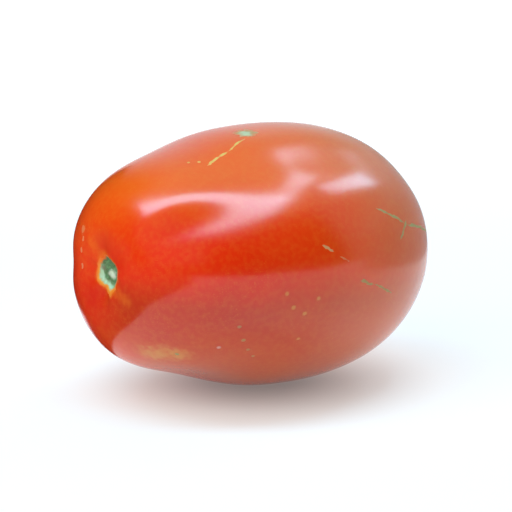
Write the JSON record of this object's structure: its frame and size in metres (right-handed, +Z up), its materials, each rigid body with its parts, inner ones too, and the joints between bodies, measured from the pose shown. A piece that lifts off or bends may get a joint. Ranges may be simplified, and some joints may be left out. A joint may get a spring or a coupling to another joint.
{
  "type": "plum tomato",
  "caption": "Ripe red plum tomato, picked, lying on its side, with a small green stalk scar at the stem end; oblong with low lobes and a narrower neck behind the shoulders.",
  "frame": {"origin": "on the surface that the fruit rests on, under the middle of its box", "axes": "+X runs from the stem end to the blossom end, +Z is up as it lies, +Y completes a right-handed frame"},
  "size_m": [0.0712, 0.0574, 0.0496],
  "materials": {
    "skin": "smooth waxy ripe skin, satin gloss"
  },
  "bodies": {
    "root": {"tomato": "skin"}
  },
  "joints": []
}
